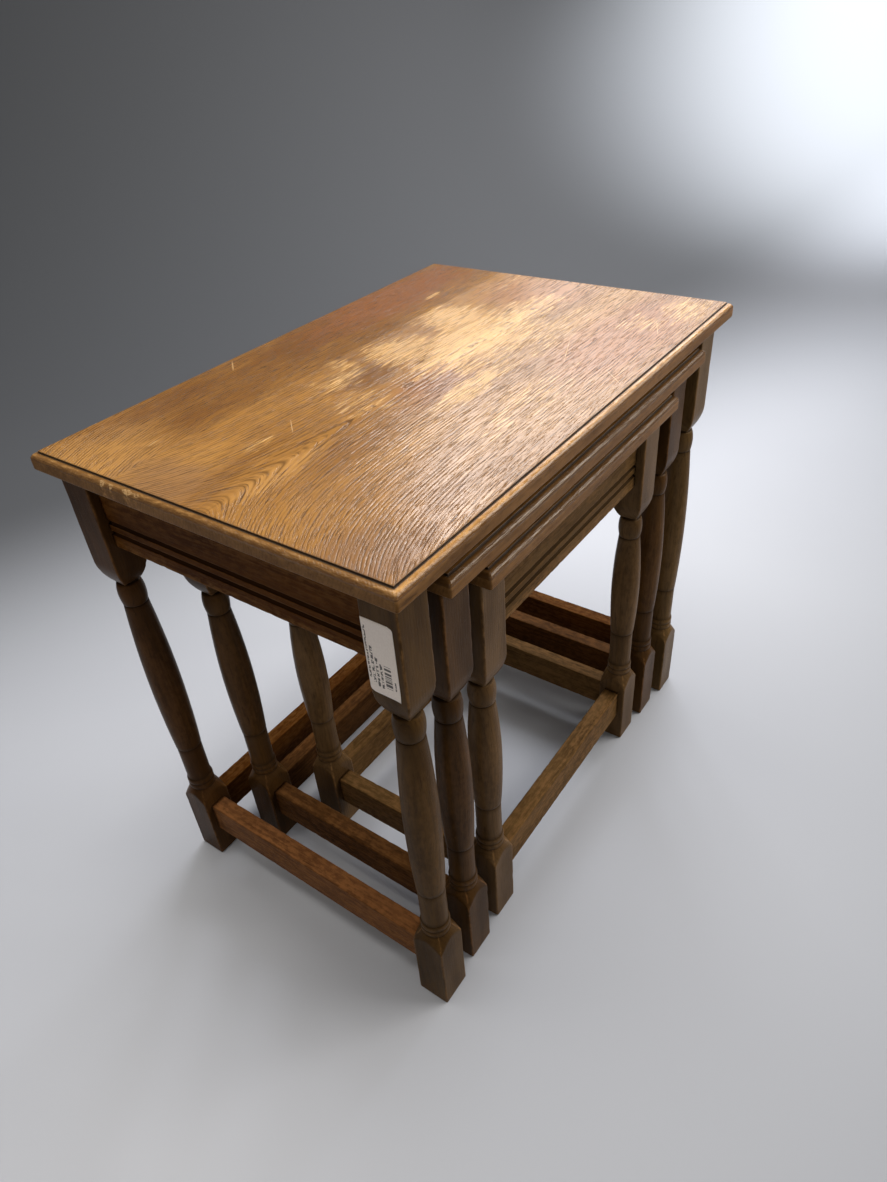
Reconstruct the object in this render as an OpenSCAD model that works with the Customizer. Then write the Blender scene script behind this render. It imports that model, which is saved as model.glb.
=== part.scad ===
// A nest of tables: two smaller tables slide in under a large one.
// Each table is a moulded top on turned legs, joined by aprons above and stretchers below.

/* [Large table] */
// Length of the large top along X
large_l = 530; // [420:1:660]
// Depth of the large top along Y
large_d = 355; // [290:1:440]
// Height of the large table
large_h = 485; // [400:1:600]
// Overhang of the large top past its legs
large_over = 11.5; // [6:0.5:20]

/* [Nest] */
// Gap from the end of a nested top to the legs of the table around it
nest_gap_x = 11.5; // [6:0.5:20]
// Gap from a nested top to the underside of the top above it
nest_gap_z = 12; // [8:0.5:20]
// Gap behind the medium top, to the large back apron
medium_back_gap = 4; // [2:0.5:20]
// Gap behind the small top, to the medium back apron
small_back_gap = 9; // [2:0.5:25]
// How far the front edge of a nested top stands behind the one around it
front_step = 3; // [0:0.5:6]
// Overhang of a nested top past its legs along X
nested_over_x = 7; // [4:0.5:12]
// Overhang of a nested top past its legs along Y
nested_over_y = 13; // [6:0.5:18]

/* [Tops] */
// Thickness of every top
top_t = 15; // [13:0.5:22]
// Distance from a top's edge to its flat panel
quirk_in = 5.5; // [5:0.5:9]
// Step down from the flat panel to the edge moulding
quirk_d = 1.6; // [0.6:0.2:2.4]
// Radius of the ovolo on the edge
ovolo_r = 4.4; // [3:0.1:5]
// Radius of the lower edge of a top
arris_r = 1.5; // [0.5:0.5:3]

/* [Legs] */
// Width of the square blocks of a leg
leg_w = 31; // [26:0.5:38]
// Straight part of the upper block that shows below the aprons
head_below = 19; // [8:1:40]
// Length of the rounded lower end of the upper block
shoulder_len = 22; // [14:1:30]
// How far each face curves in over that end
shoulder_in = 6.5; // [4:0.5:7]
// Radius of the waist under the upper block
waist_r = 8.4; // [7:0.2:9]
// Height of the waist
waist_len = 2.5; // [1.5:0.5:5]
// Largest radius of the cup under the waist
cup_r = 12; // [10.5:0.25:13]
// Height of the cup
cup_len = 22; // [14:1:30]
// Largest radius of the shaft
shaft_r = 14.8; // [13.5:0.1:15.2]
// Radius at the upper end of the shaft
shaft_top_r = 10.8; // [9.5:0.1:12]
// Radius at the lower end of the shaft
shaft_end_r = 12.4; // [11:0.1:13]
// Height of the neck below the shaft
neck_len = 43; // [20:1:54]
// Radius of the neck
neck_r = 12; // [10:0.25:12]
// Radius of the rings below the neck
ring_r = 13.2; // [13:0.1:14]
// How far each ring curves in at its edges
ring_in = 0.8; // [0.4:0.1:0.8]
// Height of each ring
ring_len = 7; // [4:0.5:9]
// Height of the cone above the lower block
cone_len = 16; // [8:1:22]
// Height of the lower block at its corners
foot_len = 80; // [60:1:110]
// Chamfer round the sole of a leg
sole_cut = 1.5; // [0.5:0.5:3]
// Width and depth of the fine lines cut between the turned shapes
line_cut = 1.2; // [0.8:0.2:2]

/* [Aprons and stretchers] */
// Height of an apron
apron_h = 69; // [50:1:86]
// Thickness of an apron
apron_t = 18; // [14:0.5:19]
// Set-back of an apron from the faces of the legs
apron_set = 8; // [4:0.5:9]
// Height of the plain band below the grooves
band_h = 14; // [9:1:34]
// Distance between the grooves
groove_pitch = 10; // [8:1:18]
// Radius of the grooves
groove_r = 2.2; // [1:0.2:3]
// Height of a stretcher
stretcher_h = 36; // [24:1:44]
// Thickness of a stretcher
stretcher_t = 17; // [12:0.5:22]
// Distance from the corners of the lower block down to the stretchers
stretcher_drop = 7; // [0:1:14]

/* [Joints and fixings] */
// Thickness of a tenon
tenon_t = 8; // [6:0.5:9]
// Length of a tenon
tenon_len = 8.5; // [6:0.5:9]
// Shoulder of a tenon, above and below it
tenon_step = 6; // [4:0.5:9]
// Gap round a tenon in its mortise
joint_gap = 0.1; // [0.05:0.05:0.3]
// Length of a glue block
block_l = 40; // [26:1:50]
// Width of a glue block
block_w = 12; // [10:0.5:14]
// Gap from a glue block down to the nested top below it
block_gap = 2; // [1:0.5:4]
// Distance from a leg to the middle of a glue block
block_in = 42; // [28:1:50]
// Radius of a top screw
screw_r = 1.9; // [1.5:0.1:2.2]
// Radius of the head of a top screw
screw_head_r = 3.6; // [3:0.1:4]
// Depth that a top screw bites into the top
screw_bite = 8; // [5:0.5:10]
// Gap round a top screw in its glue block
screw_gap = 0.15; // [0.1:0.05:0.3]

/* [Label] */
// Height of the price label
label_h = 62; // [40:1:68]
// Thickness of the price label
label_t = 0.25; // [0.2:0.05:0.5]
// Radius of the two rounded corners of the label
label_r = 3.5; // [1:0.5:6]
// Distance from the front edge of the leg to the label
label_in = 5.4; // [0.5:0.1:8]
// Distance from the label to the inner edge of the leg
label_back = 0.6; // [0:0.1:4]

/* [Hidden] */

// Tables are numbered from the outside in, and sides anticlockwise from the front
LARGE = 0;
MEDIUM = 1;
SMALL = 2;
FRONT = 0;
RIGHT = 1;
BACK = 2;
LEFT = 3;

// How far cutting shapes run past the face they cut, and joined shapes into each other
lap = 1;
// Facets of the turned shapes, and of the long shallow arcs along them
turn_fn = 72;
arc_fn = 720;

// Overhangs of each top, and the space that a table leaves between its frame's inner faces
over_x = [large_over, nested_over_x, nested_over_x];
over_y = [large_over, nested_over_y, nested_over_y];
frame_back = apron_set + apron_t;
step_x = leg_w + nest_gap_x;
medium_l = large_l - 2 * (over_x[LARGE] + step_x);
small_l = medium_l - 2 * (over_x[MEDIUM] + step_x);
top_l = [large_l, medium_l, small_l];

// Front and back edges of each top
large_front = -large_d / 2;
top_front = [large_front, large_front + front_step, large_front + 2 * front_step];
medium_back = large_d / 2 - over_y[LARGE] - frame_back - medium_back_gap;
small_back = medium_back - over_y[MEDIUM] - frame_back - small_back_gap;
top_back = [large_d / 2, medium_back, small_back];

// Height of each table
step_z = top_t + nest_gap_z;
table_h = [large_h, large_h - step_z, large_h - 2 * step_z];

// Straight length of the upper blocks, lower edge of the stretchers, and width of the label
head_len = apron_h + head_below;
stretcher_z = foot_len - stretcher_drop - stretcher_h;
label_w = leg_w - label_in - label_back;

// Middle of a table, half sizes over its legs, and the height of its legs
function mid_y(i) = (top_front[i] + top_back[i]) / 2;
function half_x(i) = top_l[i] / 2 - over_x[i];
function half_y(i) = (top_back[i] - top_front[i]) / 2 - over_y[i];
function leg_h(i) = table_h[i] - top_t;

// Distance from the middle of a table to the legs' outer faces on one side
function side_out(i, side) = side % 2 == 0 ? half_y(i) : half_x(i);
// Clear span between the legs on one side
function side_span(i, side) = 2 * ((side % 2 == 0 ? half_x(i) : half_y(i)) - leg_w);
// Sides of a table that have an apron and a stretcher: only the small table has them in front
function sides(i) = i == SMALL ? [FRONT, RIGHT, BACK, LEFT] : [RIGHT, BACK, LEFT];

// Radius of an arc that leaves a straight line and moves sideways by rise over a length run
function arc_r(run, rise) = (run * run + rise * rise) / (2 * rise);

// Puts its children on one side of a table: X runs along the side, and Y runs inwards from
// the outer faces of the legs
module at_side(i, side) {
    translate([0, mid_y(i), 0])
        rotate([0, 0, 90 * side])
            translate([0, -side_out(i, side), 0]) children();
}

// Section through a top, across a width: flat panel, quirk, ovolo and rounded lower edge
module top_section(width) {
    face_top = top_t - quirk_d - ovolo_r;
    translate([-width / 2 + quirk_in, 0]) square([width - 2 * quirk_in, top_t]);
    translate([-width / 2 + ovolo_r, 0]) square([width - 2 * ovolo_r, top_t - quirk_d]);
    translate([-width / 2 + arris_r, 0]) square([width - 2 * arris_r, face_top]);
    translate([-width / 2, arris_r]) square([width, face_top - arris_r]);
    for (side = [-1, 1]) {
        translate([side * (width / 2 - ovolo_r), face_top]) circle(ovolo_r, $fn = 64);
        translate([side * (width / 2 - arris_r), arris_r]) circle(arris_r, $fn = 32);
    }
}

// A top: the sections along and across it meet in mitred corners
module table_top(i) {
    depth = top_back[i] - top_front[i];
    difference() {
        translate([0, mid_y(i), leg_h(i)]) intersection() {
            rotate([90, 0, 90]) linear_extrude(top_l[i], center = true) top_section(depth);
            rotate([90, 0, 0]) linear_extrude(depth, center = true) top_section(top_l[i]);
        }
        at_blocks(i) translate([0, 0, -lap]) cylinder(h = screw_bite + lap, r = screw_r, $fn = 32);
    }
}

// Outline of a leg's upper block: straight above, with both faces curved in at the lower end
module head_outline(height) {
    bend = arc_r(shoulder_len, shoulder_in);
    translate([-leg_w / 2, height - head_len]) square([leg_w, head_len]);
    intersection() {
        translate([-leg_w / 2, height - head_len - shoulder_len])
            square([leg_w, shoulder_len + lap]);
        translate([leg_w / 2 - bend, height - head_len]) circle(bend, $fn = arc_fn);
        translate([bend - leg_w / 2, height - head_len]) circle(bend, $fn = arc_fn);
        translate([-leg_w / 2, height - head_len - shoulder_len]) square([leg_w, shoulder_len]);
    }
}

// Outline of a leg's lower block, with its chamfered sole
module foot_outline() {
    half = leg_w / 2;
    polygon([
        [-half, foot_len + cone_len], [-half, sole_cut], [sole_cut - half, 0],
        [half - sole_cut, 0], [half, sole_cut], [half, foot_len + cone_len]
    ]);
}

// Square-section solid with the same outline from the front and from the side
module square_turn() {
    intersection() {
        rotate([90, 0, 0]) linear_extrude(leg_w + 2 * lap, center = true) children();
        rotate([90, 0, 90]) linear_extrude(leg_w + 2 * lap, center = true) children();
    }
}

// Half section of a turned bulge: radius r0 at height z0, r1 at z1 and widest, r, at z
module bulge(z0, r0, z, r, z1, r1) {
    intersection() {
        translate([0, z0]) square([r, z - z0]);
        translate([r - arc_r(z - z0, r - r0), z]) circle(arc_r(z - z0, r - r0), $fn = arc_fn);
    }
    intersection() {
        translate([0, z]) square([r, z1 - z]);
        translate([r - arc_r(z1 - z, r - r1), z]) circle(arc_r(z1 - z, r - r1), $fn = arc_fn);
    }
}

// Half section of everything turned on a leg, from the lower block to the upper one
module turned_section(height) {
    // Share of the cup and of the shaft that lies below its widest place
    cup_low = 0.5;
    shaft_low = 0.46;
    ring_edge_r = ring_r - ring_in;
    ring_z = foot_len + cone_len;
    neck_z = ring_z + 2 * ring_len;
    shaft_z = neck_z + neck_len + line_cut;
    waist_z = height - head_len - shoulder_len - waist_len;
    cup_z = waist_z - cup_len;
    shaft_end = cup_z - line_cut;
    core_r = shaft_top_r - line_cut;
    // Core, which the fine lines and the waist are cut down to
    translate([0, foot_len]) square([core_r, shaft_end - foot_len]);
    translate([0, shaft_end - lap]) square([waist_r, height - head_len - shaft_end]);
    for (k = [0, 1])
        bulge(ring_z + k * ring_len, ring_edge_r, ring_z + (k + 0.5) * ring_len, ring_r,
            ring_z + (k + 1) * ring_len, ring_edge_r);
    translate([0, neck_z - lap]) square([neck_r, neck_len + lap]);
    bulge(shaft_z, shaft_end_r, shaft_z + shaft_low * (shaft_end - shaft_z), shaft_r,
        shaft_end, shaft_top_r);
    bulge(cup_z, cup_r - line_cut, cup_z + cup_low * cup_len, cup_r,
        waist_z, cup_r - 1.5 * line_cut);
}

// Cone that rounds off the top of the lower block
module foot_cone() {
    slope = (leg_w / sqrt(2) - neck_r) / cone_len;
    cylinder(h = foot_len + cone_len, r1 = neck_r + slope * (foot_len + cone_len), r2 = neck_r,
        $fn = turn_fn);
}

// A leg before its mortises are cut
module leg_blank(height) {
    square_turn() head_outline(height);
    rotate_extrude($fn = turn_fn) turned_section(height);
    intersection() {
        square_turn() foot_outline();
        foot_cone();
    }
}

// The tenons at both ends of a rail, or with a gap, the mortises that take them.
// mid is the middle of the rail's thickness and z0 to z1 its height.
module tenons(span, mid, z0, z1, gap) {
    low = z0 + tenon_step - gap;
    for (end = [-1, 1])
        translate([end * (span / 2 + (tenon_len + gap - lap) / 2), mid, (z0 + z1) / 2])
            cube([tenon_len + gap + lap, tenon_t + 2 * gap, z1 - z0 - 2 * tenon_step + 2 * gap],
                center = true);
}

// Apron tenons of one side, and stretcher tenons of one side
module apron_tenons(i, side, gap) {
    tenons(side_span(i, side), apron_set + apron_t / 2, leg_h(i) - apron_h, leg_h(i), gap);
}
module stretcher_tenons(i, side, gap) {
    tenons(side_span(i, side), leg_w / 2, stretcher_z, stretcher_z + stretcher_h, gap);
}

// The leg between a left or right side and the front or back of a table
module table_leg(i, side, end) {
    x = (side == LEFT ? -1 : 1) * (half_x(i) - leg_w / 2);
    y = mid_y(i) + (end == FRONT ? -1 : 1) * (half_y(i) - leg_w / 2);
    difference() {
        translate([x, y, 0]) leg_blank(leg_h(i));
        for (rail = sides(i))
            if (rail == side || rail == end)
                at_side(i, rail) {
                    apron_tenons(i, rail, joint_gap);
                    stretcher_tenons(i, rail, joint_gap);
                }
    }
}

// An apron with two grooves along its outer face
module table_apron(i, side) {
    low = leg_h(i) - apron_h;
    at_side(i, side) {
        rotate([90, 0, 90]) linear_extrude(side_span(i, side), center = true) difference() {
            translate([apron_set, low]) square([apron_t, apron_h]);
            for (k = [0, 1])
                translate([apron_set, low + band_h + k * groove_pitch])
                    circle(groove_r, $fn = 48);
        }
        apron_tenons(i, side, 0);
    }
}

// A plain stretcher between the lower blocks, centred on the legs
module table_stretcher(i, side) {
    span = side_span(i, side);
    at_side(i, side) {
        translate([-span / 2, (leg_w - stretcher_t) / 2, stretcher_z])
            cube([span, stretcher_t, stretcher_h]);
        stretcher_tenons(i, side, 0);
    }
}

// Puts its children where each glue block meets the underside of the top
module at_blocks(i) {
    for (side = sides(i), end = [-1, 1])
        at_side(i, side)
            translate([end * (side_span(i, side) / 2 - block_in), frame_back + block_w / 2,
                leg_h(i)]) children();
}

// Half section of a countersunk screw whose head is flush with z = -depth
module screw_section(depth, gap) {
    head_h = screw_head_r - screw_r;
    translate([0, -depth]) square([screw_r + gap, depth]);
    polygon([
        [0, -depth], [screw_head_r + gap, -depth], [screw_r + gap, head_h - depth],
        [0, head_h - depth]
    ]);
}

// Glue blocks in the corners between the aprons and the top
module table_glue_blocks(i) {
    block_h = nest_gap_z - block_gap;
    at_blocks(i) difference() {
        translate([-block_l / 2, -block_w / 2, -block_h]) cube([block_l, block_w, block_h]);
        translate([0, 0, -block_h - lap]) cylinder(h = block_h + 2 * lap,
            r = screw_r + screw_gap, $fn = 32);
        rotate_extrude($fn = 32) screw_section(block_h, screw_gap);
    }
}

// Slotted screws through the glue blocks into the top
module table_top_screws(i) {
    block_h = nest_gap_z - block_gap;
    slot_w = 0.9;
    at_blocks(i) difference() {
        union() {
            rotate_extrude($fn = 32) screw_section(block_h, 0);
            translate([0, 0, -lap]) cylinder(h = screw_bite + lap, r = screw_r, $fn = 32);
        }
        translate([-screw_head_r - lap, -slot_w / 2, -block_h - lap])
            cube([2 * (screw_head_r + lap), slot_w, lap + slot_w]);
    }
}

// A stuck-on label with two opposite corners rounded, on the outer face of the near leg
module label_outline() {
    difference() {
        square([label_w, label_h]);
        translate([-lap, -lap]) square([label_r + lap, label_r + lap]);
        translate([label_w - label_r, label_h - label_r]) square([label_r + lap, label_r + lap]);
    }
    translate([label_r, label_r]) circle(label_r, $fn = 48);
    translate([label_w - label_r, label_h - label_r]) circle(label_r, $fn = 48);
}

module large_top() { color("peru") table_top(LARGE); }
module large_leg_front_left() { color("saddlebrown") table_leg(LARGE, LEFT, FRONT); }
module large_leg_front_right() { color("saddlebrown") table_leg(LARGE, RIGHT, FRONT); }
module large_leg_back_left() { color("saddlebrown") table_leg(LARGE, LEFT, BACK); }
module large_leg_back_right() { color("saddlebrown") table_leg(LARGE, RIGHT, BACK); }
module large_apron_left() { color("sienna") table_apron(LARGE, LEFT); }
module large_apron_right() { color("sienna") table_apron(LARGE, RIGHT); }
module large_apron_back() { color("sienna") table_apron(LARGE, BACK); }
module large_stretcher_left() { color("sienna") table_stretcher(LARGE, LEFT); }
module large_stretcher_right() { color("sienna") table_stretcher(LARGE, RIGHT); }
module large_stretcher_back() { color("sienna") table_stretcher(LARGE, BACK); }
module large_glue_blocks() { color("tan") table_glue_blocks(LARGE); }
module large_top_screws() { color("gray") table_top_screws(LARGE); }

module medium_top() { color("peru") table_top(MEDIUM); }
module medium_leg_front_left() { color("saddlebrown") table_leg(MEDIUM, LEFT, FRONT); }
module medium_leg_front_right() { color("saddlebrown") table_leg(MEDIUM, RIGHT, FRONT); }
module medium_leg_back_left() { color("saddlebrown") table_leg(MEDIUM, LEFT, BACK); }
module medium_leg_back_right() { color("saddlebrown") table_leg(MEDIUM, RIGHT, BACK); }
module medium_apron_left() { color("sienna") table_apron(MEDIUM, LEFT); }
module medium_apron_right() { color("sienna") table_apron(MEDIUM, RIGHT); }
module medium_apron_back() { color("sienna") table_apron(MEDIUM, BACK); }
module medium_stretcher_left() { color("sienna") table_stretcher(MEDIUM, LEFT); }
module medium_stretcher_right() { color("sienna") table_stretcher(MEDIUM, RIGHT); }
module medium_stretcher_back() { color("sienna") table_stretcher(MEDIUM, BACK); }
module medium_glue_blocks() { color("tan") table_glue_blocks(MEDIUM); }
module medium_top_screws() { color("gray") table_top_screws(MEDIUM); }

module small_top() { color("peru") table_top(SMALL); }
module small_leg_front_left() { color("saddlebrown") table_leg(SMALL, LEFT, FRONT); }
module small_leg_front_right() { color("saddlebrown") table_leg(SMALL, RIGHT, FRONT); }
module small_leg_back_left() { color("saddlebrown") table_leg(SMALL, LEFT, BACK); }
module small_leg_back_right() { color("saddlebrown") table_leg(SMALL, RIGHT, BACK); }
module small_apron_left() { color("sienna") table_apron(SMALL, LEFT); }
module small_apron_right() { color("sienna") table_apron(SMALL, RIGHT); }
module small_apron_back() { color("sienna") table_apron(SMALL, BACK); }
module small_apron_front() { color("sienna") table_apron(SMALL, FRONT); }
module small_stretcher_left() { color("sienna") table_stretcher(SMALL, LEFT); }
module small_stretcher_right() { color("sienna") table_stretcher(SMALL, RIGHT); }
module small_stretcher_back() { color("sienna") table_stretcher(SMALL, BACK); }
module small_stretcher_front() { color("sienna") table_stretcher(SMALL, FRONT); }
module small_glue_blocks() { color("tan") table_glue_blocks(SMALL); }
module small_top_screws() { color("gray") table_top_screws(SMALL); }

module price_label() {
    label_z = leg_h(LARGE) - head_len + lap;
    color("whitesmoke")
        translate([-half_x(LARGE), mid_y(LARGE) - half_y(LARGE) + label_in + label_w, label_z])
            rotate([90, 0, -90]) linear_extrude(label_t) label_outline();
}

large_top();
large_leg_front_left();
large_leg_front_right();
large_leg_back_left();
large_leg_back_right();
large_apron_left();
large_apron_right();
large_apron_back();
large_stretcher_left();
large_stretcher_right();
large_stretcher_back();
large_glue_blocks();
large_top_screws();
medium_top();
medium_leg_front_left();
medium_leg_front_right();
medium_leg_back_left();
medium_leg_back_right();
medium_apron_left();
medium_apron_right();
medium_apron_back();
medium_stretcher_left();
medium_stretcher_right();
medium_stretcher_back();
medium_glue_blocks();
medium_top_screws();
small_top();
small_leg_front_left();
small_leg_front_right();
small_leg_back_left();
small_leg_back_right();
small_apron_left();
small_apron_right();
small_apron_back();
small_apron_front();
small_stretcher_left();
small_stretcher_right();
small_stretcher_back();
small_stretcher_front();
small_glue_blocks();
small_top_screws();
price_label();
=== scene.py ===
"""Looks of a nest of three oak tables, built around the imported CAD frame. Lengths are in metres."""
import math

import bmesh
import bpy
import numpy as np
from mathutils import Matrix, Vector


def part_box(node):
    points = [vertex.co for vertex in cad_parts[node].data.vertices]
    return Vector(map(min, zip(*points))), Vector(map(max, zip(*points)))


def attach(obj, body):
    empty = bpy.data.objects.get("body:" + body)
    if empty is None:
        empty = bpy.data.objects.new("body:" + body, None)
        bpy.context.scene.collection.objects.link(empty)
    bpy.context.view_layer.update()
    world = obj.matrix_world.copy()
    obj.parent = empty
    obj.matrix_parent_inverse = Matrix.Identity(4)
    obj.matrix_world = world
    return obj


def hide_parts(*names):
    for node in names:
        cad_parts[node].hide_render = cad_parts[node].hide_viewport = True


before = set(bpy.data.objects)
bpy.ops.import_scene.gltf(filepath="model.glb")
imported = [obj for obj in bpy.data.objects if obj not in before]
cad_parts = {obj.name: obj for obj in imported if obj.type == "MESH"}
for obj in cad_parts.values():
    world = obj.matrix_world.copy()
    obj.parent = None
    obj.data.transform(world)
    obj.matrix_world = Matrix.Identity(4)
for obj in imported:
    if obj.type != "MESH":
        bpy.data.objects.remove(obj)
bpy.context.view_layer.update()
MM = 0.001

# ---------------------------------------------------------------- sizes shared with the CAD model
QUIRK_IN, QUIRK_D = 5.5 * MM, 1.6 * MM
OVOLO_R, ARRIS_R = 4.4 * MM, 1.5 * MM
LEG_W = 31 * MM
HEAD_LEN, SHOULDER_LEN, SHOULDER_IN = 88 * MM, 22 * MM, 6.5 * MM
WAIST_R, WAIST_LEN = 8.4 * MM, 2.5 * MM
CUP_R, CUP_LEN, CUP_LOW = 12 * MM, 22 * MM, 0.5
SHAFT_R, SHAFT_TOP_R, SHAFT_END_R, SHAFT_LOW = 14.8 * MM, 10.8 * MM, 12.4 * MM, 0.46
NECK_LEN, NECK_R = 43 * MM, 12 * MM
RING_R, RING_IN, RING_LEN = 13.2 * MM, 0.8 * MM, 7 * MM
CONE_LEN, FOOT_LEN, SOLE_CUT = 16 * MM, 80 * MM, 1.5 * MM
LINE_CUT = 1.2 * MM
BAND_H, GROOVE_PITCH, GROOVE_R = 14 * MM, 10 * MM, 2.2 * MM
TENON_LEN = 8.5 * MM
LABEL_R = 3.5 * MM

# Sizes of the looks alone
WIDE = 1.0  # a radius or half width that never limits a leg
FINE_FROM = 68 * MM  # from here up, rows stand closer, where the cone cuts the square foot
PROUD_R = 11.6 * MM  # turned parts wider than this catch some wear
LEG_SOFT, RAIL_SOFT = 1.3 * MM, 1.1 * MM  # radii of the worn long edges
PAPER_T = 0.10 * MM
TOP_RINGS, FRAME_RINGS = 3.0 * MM, 2.8 * MM  # from one growth ring to the next


# ---------------------------------------------------------------- small helpers
def wobble(where, seed, waves):
    """Smooth repeatable noise of about -1 to 1: where is an array in metres, waves are lengths."""
    rng = np.random.default_rng(seed)
    total = np.zeros_like(where)
    for length in waves:
        total += np.sin(2 * math.pi * where / length + rng.uniform(0, 2 * math.pi))
    return total / len(waves)


def arc_radius(run, rise):
    """Radius of an arc that leaves a straight line and moves sideways by rise over run."""
    return (run * run + rise * rise) / (2 * rise)


def bulge(z, widest_z, widest, end_z, end):
    """Radius at z of an arc that is widest at widest_z and has radius end at end_z."""
    radius = arc_radius(abs(end_z - widest_z), widest - end)
    return widest - radius + math.sqrt(max(radius * radius - (z - widest_z) ** 2, 0))


def smooth_min(a, b, soft):
    """The smaller of a and b, blended over about soft where they cross."""
    low = np.minimum(a, b)
    return low - soft * np.log1p(np.exp(-np.abs(a - b) / soft))


def loft(rings):
    """Vertices and faces of a closed skin over rings, an array of rings x points x 3."""
    rows, count = rings.shape[:2]
    verts = rings.reshape(-1, 3)
    base = np.arange(rows - 1)[:, None] * count
    here = np.arange(count)[None, :]
    ahead = (here + 1) % count
    quads = np.stack([base + here, base + ahead, base + count + ahead, base + count + here], -1)
    faces = quads.reshape(-1, 4).tolist()
    faces.append(list(range(count))[::-1])
    faces.append(list(range((rows - 1) * count, rows * count)))
    return verts, faces


def add_piece(name, verts, faces, fields, material, body, node):
    """A smooth mesh piece with its point fields, riding on a body in place of a CAD node."""
    mesh = bpy.data.meshes.new(name)
    mesh.from_pydata([tuple(v) for v in verts], [], faces)
    for key, values in fields.items():
        kind = "FLOAT_VECTOR" if values.ndim == 2 else "FLOAT"
        layer = mesh.attributes.new(key, kind, "POINT")
        layer.data.foreach_set("vector" if values.ndim == 2 else "value",
                               values.astype(np.float32).ravel())
    work = bmesh.new()
    work.from_mesh(mesh)
    bmesh.ops.recalc_face_normals(work, faces=work.faces)
    work.to_mesh(mesh)
    work.free()
    mesh.shade_smooth()
    mesh.materials.append(material)
    piece = bpy.data.objects.new(name, mesh)
    bpy.context.scene.collection.objects.link(piece)
    normals = piece.modifiers.new("even_normals", "WEIGHTED_NORMAL")
    normals.weight = 80
    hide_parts(node)
    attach(piece, body)
    return piece


# ---------------------------------------------------------------- materials
class Shader:
    """Short names for building a node material."""

    def __init__(self, name):
        self.material = bpy.data.materials.new(name)
        self.material.use_nodes = True
        self.tree = self.material.node_tree
        self.tree.nodes.clear()

    def put(self, socket, value):
        if isinstance(value, bpy.types.NodeSocket):
            self.tree.links.new(value, socket)
        elif isinstance(value, (tuple, list)) and len(value) == 3 and socket.type == "RGBA":
            socket.default_value = (*value, 1.0)
        else:
            socket.default_value = value

    def node(self, kind, **settings):
        made = self.tree.nodes.new(kind)
        for key, value in settings.items():
            setattr(made, key, value)
        return made

    def math(self, operation, a, b=0.0):
        made = self.node("ShaderNodeMath", operation=operation)
        for socket, value in zip(made.inputs, (a, b)):
            self.put(socket, value)
        return made.outputs[0]

    def field(self, name):
        return self.node("ShaderNodeAttribute", attribute_name=name)

    def split(self, vector):
        made = self.node("ShaderNodeSeparateXYZ")
        self.put(made.inputs[0], vector)
        return made.outputs

    def join(self, x, y, z):
        made = self.node("ShaderNodeCombineXYZ")
        for socket, value in zip(made.inputs, (x, y, z)):
            self.put(socket, value)
        return made.outputs[0]

    def scaled(self, x, y, z, sx, sy, sz):
        """A vector of three lengths, each in waves per metre."""
        return self.join(self.math("MULTIPLY", x, sx), self.math("MULTIPLY", y, sy),
                         self.math("MULTIPLY", z, sz))

    def noise(self, vector, detail=2.0, rough=0.5, scale=1.0):
        made = self.node("ShaderNodeTexNoise")
        self.put(made.inputs["Vector"], vector)
        for key, value in (("Scale", scale), ("Detail", detail), ("Roughness", rough)):
            made.inputs[key].default_value = value
        return made.outputs["Fac"]

    def ramp(self, value, *stops):
        """Maps value through (place, level) stops."""
        made = self.node("ShaderNodeValToRGB")
        self.put(made.inputs[0], value)
        elements = made.color_ramp.elements
        while len(elements) < len(stops):
            elements.new(0.5)
        for element, (place, level) in zip(elements, stops):
            element.position = place
            element.color = (level, level, level, 1.0)
        return made.outputs[0]

    def step(self, value, low, high):
        """0 below low and 1 above high, smooth between."""
        made = self.node("ShaderNodeMapRange", interpolation_type="SMOOTHSTEP")
        for socket, level in zip(made.inputs, (value, low, high, 0.0, 1.0)):
            self.put(socket, level)
        return made.outputs[0]

    def mix(self, amount, a, b):
        made = self.node("ShaderNodeMix", data_type="RGBA")
        self.put(made.inputs[0], amount)
        self.put(made.inputs[6], a)
        self.put(made.inputs[7], b)
        return made.outputs[2]

    def bump(self, height, distance, strength=1.0, normal=None):
        made = self.node("ShaderNodeBump")
        made.inputs["Distance"].default_value = distance
        made.inputs["Strength"].default_value = strength
        self.put(made.inputs["Height"], height)
        if normal is not None:
            self.put(made.inputs["Normal"], normal)
        return made.outputs[0]

    def finish(self, colour, roughness, normal=None, **sockets):
        shader = self.node("ShaderNodeBsdfPrincipled")
        self.put(shader.inputs["Base Color"], colour)
        self.put(shader.inputs["Roughness"], roughness)
        if normal is not None:
            self.put(shader.inputs["Normal"], normal)
        for key, value in sockets.items():
            shader.inputs[key.replace("_", " ")].default_value = value
        output = self.node("ShaderNodeOutputMaterial")
        self.tree.links.new(shader.outputs[0], output.inputs[0])
        return self.material


def open_grain(s, along, field, depth, spacing):
    """Ring lines and pores of oak: along runs with the grain, field counts across the rings.

    Returns the ring lines and the pores, both 0 to 1."""
    drift = s.noise(s.scaled(along, field, depth, 5, 45, 45), detail=2.0)
    turns = s.math("DIVIDE", field, spacing)
    phase = s.math("FRACT", s.math("ADD", turns, s.math("MULTIPLY", drift, 1.6)))
    line = s.ramp(phase, (0.0, 0.45), (0.22, 0.0), (0.55, 0.10), (0.84, 1.0), (1.0, 0.45))
    dashes = s.noise(s.scaled(along, field, depth, 65, 1500, 900), detail=2.0, rough=0.6)
    pores = s.step(dashes, 0.54, 0.66)
    broken = s.step(s.noise(s.scaled(along, field, depth, 70, 650, 300), detail=2.0), 0.40, 0.58)
    line = s.math("MULTIPLY", line, s.math("ADD", s.math("MULTIPLY", broken, 0.72), 0.28))
    return line, pores


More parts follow.
